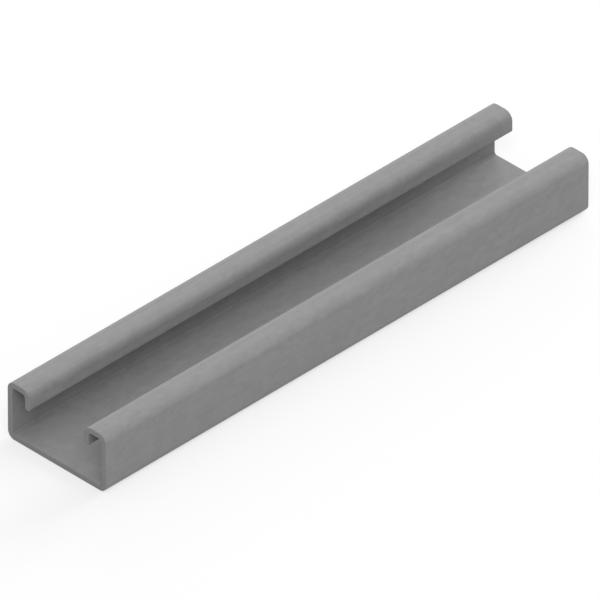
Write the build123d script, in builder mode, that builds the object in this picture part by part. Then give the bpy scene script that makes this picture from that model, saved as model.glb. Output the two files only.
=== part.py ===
from build123d import *

import os

# A shallow strut channel: one strip of sheet steel, roll-formed into a lipped channel with a
# solid back, and cut to a short length. It lies on its back with the slot up.
# The origin is at the middle of the underside, +X runs along the length and +Z is up.

# Driving dimensions, in millimetres
length = 203.2
width = 41.3
height = 20.6
slot = 22.6
lip_depth = 7.1
sheet = 2.0
corner_inside_radius = 0.9
lip_inside_radius = 1.2
lip_edge_flat = 0.1
end_chamfer = 0.2

# Sizes that follow from them
corner_outside_radius = corner_inside_radius + sheet
lip_outside_radius = lip_inside_radius + sheet
lip_edge_radius = (sheet - lip_edge_flat) / 2
half_width = width / 2
half_slot = slot / 2
lip_tip_height = height - lip_depth
selection_band = 0.01

# The outside face of the folded strip, from one lip's tip round the back to the other's
outside_points = [
    (-half_slot, lip_tip_height),
    (-half_slot, height),
    (-half_width, height),
    (-half_width, 0),
    (half_width, 0),
    (half_width, height),
    (half_slot, height),
    (half_slot, lip_tip_height),
]
outside_radii = [
    lip_outside_radius,
    corner_outside_radius,
    corner_outside_radius,
    corner_outside_radius,
    corner_outside_radius,
    lip_outside_radius,
]

with BuildPart() as strut_channel:
    # The section, one sheet thick all the way round, with the slit edges of the strip rolled
    # round, but for the flat left along their middle
    with BuildSketch(Plane.YZ) as section:
        with BuildLine():
            FilletPolyline(*outside_points, radius=outside_radii)
            offset(amount=sheet, side=Side.LEFT)
        make_face()
        lip_tips = section.vertices().filter_by_position(
            Axis.Y, lip_tip_height - selection_band, lip_tip_height + selection_band
        )
        fillet(lip_tips, radius=lip_edge_radius)
    extrude(amount=length / 2, both=True)
    # The burr taken off both cut ends
    cut_ends = strut_channel.faces().filter_by(Axis.X)
    chamfer(cut_ends.edges(), length=end_chamfer)

strut_channel.part.label = "strut_channel"
os.makedirs("parts", exist_ok=True)
export_step(strut_channel.part, "parts/strut_channel.step")
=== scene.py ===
import math

import bpy
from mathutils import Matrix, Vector


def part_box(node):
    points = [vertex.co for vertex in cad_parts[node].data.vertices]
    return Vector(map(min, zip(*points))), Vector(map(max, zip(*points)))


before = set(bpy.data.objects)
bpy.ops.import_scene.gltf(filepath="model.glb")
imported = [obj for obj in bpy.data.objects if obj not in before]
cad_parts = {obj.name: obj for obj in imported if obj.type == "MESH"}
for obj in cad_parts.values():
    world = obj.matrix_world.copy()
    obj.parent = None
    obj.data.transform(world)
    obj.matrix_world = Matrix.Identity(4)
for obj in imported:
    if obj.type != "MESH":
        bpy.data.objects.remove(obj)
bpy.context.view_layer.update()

# A short length of shallow strut channel in dull zinc-coated steel, lying on its back on a
# white studio floor. Everything is in metres and degrees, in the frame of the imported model,
# whose one node keeps its mesh and gets its finish here.

# The channel
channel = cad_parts["strut_channel"]
high_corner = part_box("strut_channel")[1]
half_width = high_corner.y
height = high_corner.z
mm = 0.001
sheet = 2.0 * mm
half_slot = 11.3 * mm

# The camera looks down at the corner of the channel from far off, so that its long edges stay
# parallel. The picture is square, and its width spans this much of the object.
camera_azimuth = -45.11
camera_elevation = 35.40
picture_span = 178.24 * mm
camera_lens = 1600.0
sensor_width = 36.0
aim_right = 0.03 * mm
aim_up = 7.08 * mm

# The light: an even sky, and large softboxes that look at the channel from the camera's side,
# from past its far end and from past its far left corner
sky_level = 0.416
softbox_distance = 4.0
softboxes = {
    "key_softbox": {"azimuth": -45.0, "elevation": 47.0, "side": 1.6, "power": 44.3},
    "far_end_softbox": {"azimuth": 90.0, "elevation": 15.0, "side": 2.2, "power": 138.0},
    "far_side_softbox": {"azimuth": 135.0, "elevation": 15.0, "side": 2.2, "power": 35.3},
}

# The backdrop is white where it is seen. The floor there gives back less of the light, and is
# lifted to white by its own glow, so that the channel's shadow on it is faint.
background_level = 1.0
floor_tone = 0.6
floor_tone_seen = 0.45
floor_lift = 0.615
floor_roughness = 0.9
floor_half_side = 30.0
floor_gap = 0.05 * mm

# The zinc coat's patterns, each with the length of one feature along, across and up
zinc_colour = (0.330, 0.333, 0.331)
cloud_size = (22 * mm, 14 * mm, 14 * mm)
crystal_size = (2.6 * mm, 2.0 * mm, 2.0 * mm)
streak_size = (90 * mm, 0.7 * mm, 0.7 * mm)
broad_streak_size = (160 * mm, 3.2 * mm, 3.2 * mm)
grain_size = (0.35 * mm, 0.35 * mm, 0.35 * mm)
saw_mark_size = (0.5 * mm, 7 * mm, 0.16 * mm)

# The crystals' borders wander by up to this share of a crystal, this many times along each
border_wander = 0.9
border_wander_scale = 1.6

# Places along the section's lines, marked in full as far as the first length from their line and
# not at all past the second. The line of a lip's nose, the lower part of its bend, runs this far
# out into the slot and this far down from the top.
bend_reach = (1.0 * mm, 3.6 * mm)
# Painted shade in the inside corners, which hides a light line there, reaches this far from the
# corner's line
painted_corner_shade_reach = (0.45 * mm, 1.05 * mm)
# Painted shade on the lips' noses, where their shading falls off sooner, reaches this far from the
# nose's line
painted_lip_nose_shade_reach = (0.8 * mm, 2.2 * mm)
lip_nose_out = 0.3 * mm
lip_nose_down = 1.4 * mm

# A face turns from rolled to cut as its normal comes to point along the channel
cut_facing = (0.6, 0.95)

# Changes of tone: each pattern's full swing, and how much darker each place is. The inside corners
# and the lips' noses are darker by painted shade, and the sawn ends by the bare steel's tone and
# in part by painted shade.
cloud_swing = 0.10
crystal_swing = 0.09
streak_swing = 0.14
broad_streak_swing = 0.08
saw_mark_swing = 0.16
painted_corner_shade = 0.15
painted_lip_nose_shade = 0.09
bare_steel_and_painted_shade = 0.10

# Sheen: the coat's roughness, its patterns' full swing, and how much smoother each place is
coat_roughness = 0.60
crystal_roughness_swing = 0.08
streak_roughness_swing = 0.10
bend_smoothing = 0.05
cut_smoothing = 0.04
specular_level = 0.2

# Relief: its height and strength, and each pattern's share of it
relief_height = 0.03 * mm
relief_strength = 0.5
grain_relief = 0.25
streak_relief = 0.6
saw_mark_relief = 0.8


def math_node(tree, operation, first, second=0.5):
    """One calculation on two values, each a number or another node's output."""
    node = tree.nodes.new("ShaderNodeMath")
    node.operation = operation
    for socket, value in zip(node.inputs, (first, second)):
        if isinstance(value, (int, float)):
            socket.default_value = value
        else:
            tree.links.new(value, socket)
    return node.outputs[0]


def times(tree, value, factor):
    """The product of two values."""
    return math_node(tree, "MULTIPLY", value, factor)


def total(tree, *values):
    """The sum of several values."""
    result = values[0]
    for value in values[1:]:
        result = math_node(tree, "ADD", result, value)
    return result


def swing(tree, tone, amount):
    """A tone about 0.5 turned into a change about 0, of up to half the amount each way."""
    return times(tree, math_node(tree, "SUBTRACT", tone, 0.5), amount)


def smooth_step(tree, value, low, high, at_low, at_high):
    """A smooth step from one level to another as the value goes from low to high."""
    node = tree.nodes.new("ShaderNodeMapRange")
    node.interpolation_type = "SMOOTHSTEP"
    tree.links.new(value, node.inputs["Value"])
    limits = {"From Min": low, "From Max": high, "To Min": at_low, "To Max": at_high}
    for name, limit in limits.items():
        node.inputs[name].default_value = limit
    return node.outputs[0]


def stretched(tree, coordinates, size):
    """Coordinates in which one unit is the size's own length along each axis."""
    node = tree.nodes.new("ShaderNodeMapping")
    node.vector_type = "POINT"
    node.inputs["Scale"].default_value = [1 / length for length in size]
    tree.links.new(coordinates, node.inputs["Vector"])
    return node.outputs[0]


def noise(tree, coordinates, size, detail):
    """Cloudy noise about 0.5, with features of that size."""
    node = tree.nodes.new("ShaderNodeTexNoise")
    node.inputs["Scale"].default_value = 1.0
    node.inputs["Detail"].default_value = detail
    tree.links.new(stretched(tree, coordinates, size), node.inputs["Vector"])
    return node.outputs["Fac"]


def crystal_tone(tree, coordinates, size):
    """One random tone for each crystal of the coat, whose borders wander."""
    cell_space = stretched(tree, coordinates, size)
    wander = tree.nodes.new("ShaderNodeTexNoise")
    wander.inputs["Scale"].default_value = border_wander_scale
    wander.inputs["Detail"].default_value = 3.0
    tree.links.new(cell_space, wander.inputs["Vector"])
    shift = tree.nodes.new("ShaderNodeVectorMath")
    shift.operation = "MULTIPLY_ADD"
    tree.links.new(wander.outputs["Color"], shift.inputs[0])
    shift.inputs[1].default_value = (border_wander, border_wander, border_wander)
    tree.links.new(cell_space, shift.inputs[2])
    cells = tree.nodes.new("ShaderNodeTexVoronoi")
    cells.inputs["Scale"].default_value = 1.0
    tree.links.new(shift.outputs[0], cells.inputs["Vector"])
    tone = tree.nodes.new("ShaderNodeSeparateColor")
    tree.links.new(cells.outputs["Color"], tone.inputs[0])
    return tone.outputs[0]


def line_distance(tree, place, y, z):
    """How far a point is from a line along the channel, or from its mirror image."""
    across = math_node(tree, "SUBTRACT", math_node(tree, "ABSOLUTE", place.outputs["Y"]), y)
    up = math_node(tree, "SUBTRACT", place.outputs["Z"], z)
    squares = [math_node(tree, "POWER", leg, 2.0) for leg in (across, up)]
    return math_node(tree, "SQRT", total(tree, *squares))


def nearness(tree, distance, reach):
    """1 as far as the first length of the reach, and 0 past the second."""
    return smooth_step(tree, distance, *reach, 1.0, 0.0)


def bend_nearness(tree, place):
    """1 on the outer corners and the lips' bends, and 0 on the flats."""
    top_bend = line_distance(tree, place, half_width, height)
    back_bend = line_distance(tree, place, half_width, 0.0)
    lip_bend = line_distance(tree, place, half_slot, height)
    nearest = math_node(tree, "MINIMUM", math_node(tree, "MINIMUM", top_bend, back_bend), lip_bend)
    return nearness(tree, nearest, bend_reach)


def zinc_material():
    """Dull zinc on roll-formed strip: soft clouds, faint crystals, roller streaks along the
    length, bends burnished by the rollers, and finely sawn ends. Painted shade darkens the inside
    corners, the lips' noses and, in part, the sawn ends."""
    material = bpy.data.materials.new("dull_zinc")
    material.use_nodes = True
    tree = material.node_tree
    shader = tree.nodes["Principled BSDF"]

    texture_space = tree.nodes.new("ShaderNodeTexCoord")
    here = texture_space.outputs["Object"]
    place = tree.nodes.new("ShaderNodeSeparateXYZ")
    tree.links.new(here, place.inputs[0])
    facing = tree.nodes.new("ShaderNodeSeparateXYZ")
    tree.links.new(texture_space.outputs["Normal"], facing.inputs[0])

    clouds = noise(tree, here, cloud_size, detail=3.0)
    crystals = crystal_tone(tree, here, crystal_size)
    streaks = noise(tree, here, streak_size, detail=2.0)
    broad_streaks = noise(tree, here, broad_streak_size, detail=1.0)
    grain = noise(tree, here, grain_size, detail=2.0)
    saw_marks = noise(tree, here, saw_mark_size, detail=2.0)

    # Where the strip was bent, and where it was cut, and where shade is painted in the inside
    # corners and on the lips' noses
    bend = bend_nearness(tree, place)
    corner_line = line_distance(tree, place, half_width - sheet, sheet)
    painted_corner_shade_mask = nearness(tree, corner_line, painted_corner_shade_reach)
    nose_line = line_distance(tree, place, half_slot - lip_nose_out, height - lip_nose_down)
    painted_lip_nose_shade_mask = nearness(tree, nose_line, painted_lip_nose_shade_reach)
    end_facing = math_node(tree, "ABSOLUTE", facing.outputs["X"])
    cut = smooth_step(tree, end_facing, *cut_facing, 0.0, 1.0)
    rolled = math_node(tree, "SUBTRACT", 1.0, cut)

    # Tone
    rolled_change = total(
        tree,
        swing(tree, crystals, crystal_swing),
        swing(tree, streaks, streak_swing),
        swing(tree, broad_streaks, broad_streak_swing),
        # Painted shade along the inside corners
        times(tree, painted_corner_shade_mask, -painted_corner_shade),
        # Painted shade on the lips' noses
        times(tree, painted_lip_nose_shade_mask, -painted_lip_nose_shade),
    )
    tone = total(
        tree,
        1.0,
        swing(tree, clouds, cloud_swing),
        times(tree, rolled_change, rolled),
        times(tree, swing(tree, saw_marks, saw_mark_swing), cut),
        # The sawn ends are darker: the bare steel's own tone, and in part painted shade on faces
        # turned along the channel
        times(tree, cut, -bare_steel_and_painted_shade),
    )
    colour = tree.nodes.new("ShaderNodeVectorMath")
    colour.operation = "SCALE"
    colour.inputs[0].default_value = zinc_colour
    tree.links.new(tone, colour.inputs["Scale"])
    tree.links.new(colour.outputs[0], shader.inputs["Base Color"])

    # Sheen
    roughness = total(
        tree,
        coat_roughness,
        swing(tree, crystals, crystal_roughness_swing),
        swing(tree, streaks, streak_roughness_swing),
        times(tree, bend, -bend_smoothing),
        times(tree, cut, -cut_smoothing),
    )
    tree.links.new(roughness, shader.inputs["Roughness"])
    shader.inputs["Metallic"].default_value = 0.0
    shader.inputs["Specular IOR Level"].default_value = specular_level

    # Relief
    relief = total(
        tree,
        times(tree, grain, grain_relief),
        times(tree, times(tree, streaks, rolled), streak_relief),
        times(tree, times(tree, saw_marks, cut), saw_mark_relief),
    )
    bump = tree.nodes.new("ShaderNodeBump")
    bump.inputs["Strength"].default_value = relief_strength
    bump.inputs["Distance"].default_value = relief_height
    tree.links.new(relief, bump.inputs["Height"])
    tree.links.new(bump.outputs[0], shader.inputs["Normal"])
    return material


def backdrop_share(tree):
    """1 for a ray that shows the backdrop itself, directly or in a reflection, and 0 for light."""
    path = tree.nodes.new("ShaderNodeLightPath")
    seen = total(
        tree,
        path.outputs["Is Camera Ray"],
        path.outputs["Is Glossy Ray"],
        path.outputs["Is Transmission Ray"],
    )
    return math_node(tree, "MINIMUM", seen, 1.0)


def make_floor():
    """A level white floor that keeps the channel's soft shadow."""
    mesh = bpy.data.meshes.new("studio_floor")
    side = floor_half_side
    corners = [(-side, -side, -floor_gap), (side, -side, -floor_gap)]
    corners += [(side, side, -floor_gap), (-side, side, -floor_gap)]
    mesh.from_pydata(corners, [], [(0, 1, 2, 3)])
    floor = bpy.data.objects.new("studio_floor", mesh)
    bpy.context.scene.collection.objects.link(floor)
    mesh.materials.append(floor_material())


def floor_material():
    """A matte tone for light, and a whiter look where the floor is seen."""
    material = bpy.data.materials.new("pale_floor")
    material.use_nodes = True
    tree = material.node_tree
    shader = tree.nodes["Principled BSDF"]
    seen = backdrop_share(tree)
    tone_change = times(tree, seen, floor_tone_seen - floor_tone)
    tone = tree.nodes.new("ShaderNodeCombineColor")
    for channel_input in tone.inputs:
        tree.links.new(math_node(tree, "ADD", tone_change, floor_tone), channel_input)
    tree.links.new(tone.outputs[0], shader.inputs["Base Color"])
    shader.inputs["Roughness"].default_value = floor_roughness
    shader.inputs["Specular IOR Level"].default_value = 0.0
    shader.inputs["Emission Color"].default_value = (1.0, 1.0, 1.0, 1.0)
    tree.links.new(times(tree, seen, floor_lift), shader.inputs["Emission Strength"])
    return material


def make_world():
    """An even grey sky for light, and white where it is seen."""
    world = bpy.data.worlds.new("studio_sky")
    world.use_nodes = True
    tree = world.node_tree
    sky = tree.nodes["Background"]
    sky.inputs["Color"].default_value = (1.0, 1.0, 1.0, 1.0)
    level_change = times(tree, backdrop_share(tree), background_level - sky_level)
    tree.links.new(math_node(tree, "ADD", level_change, sky_level), sky.inputs["Strength"])
    bpy.context.scene.world = world


def direction(azimuth, elevation):
    """The way to a point at that azimuth, which is 0 at the channel's right side and 90 at its
    far end, and at that elevation above the floor."""
    turn, rise = math.radians(azimuth), math.radians(elevation)
    return Vector(
        (math.sin(turn) * math.cos(rise), -math.cos(turn) * math.cos(rise), math.sin(rise))
    )


def make_softbox(name, azimuth, elevation, side, power):
    """A square area lamp that looks at the channel from that direction."""
    data = bpy.data.lights.new(name, "AREA")
    data.shape = "SQUARE"
    data.size = side
    data.energy = power
    lamp = bpy.data.objects.new(name, data)
    back = direction(azimuth, elevation)
    lamp.location = back * softbox_distance
    lamp.rotation_euler = back.to_track_quat("Z", "Y").to_euler()
    bpy.context.scene.collection.objects.link(lamp)


def make_camera():
    """A long lens at the picture's viewing angle."""
    data = bpy.data.cameras.new("camera")
    data.lens = camera_lens
    data.sensor_width = sensor_width
    back = direction(camera_azimuth, camera_elevation)
    turn = math.radians(camera_azimuth)
    right = Vector((math.cos(turn), math.sin(turn), 0.0))
    up = back.cross(right)
    distance = picture_span * camera_lens / sensor_width
    data.clip_start = 0.1
    data.clip_end = 2 * distance
    camera = bpy.data.objects.new("camera", data)
    camera.location = right * aim_right + up * aim_up + back * distance
    camera.rotation_euler = back.to_track_quat("Z", "Y").to_euler()
    bpy.context.scene.collection.objects.link(camera)
    bpy.context.scene.camera = camera


bpy.context.scene.view_settings.view_transform = "Standard"
channel.material_slots[0].material = zinc_material()
make_floor()
make_world()
for softbox_name, softbox in softboxes.items():
    make_softbox(softbox_name, **softbox)
make_camera()
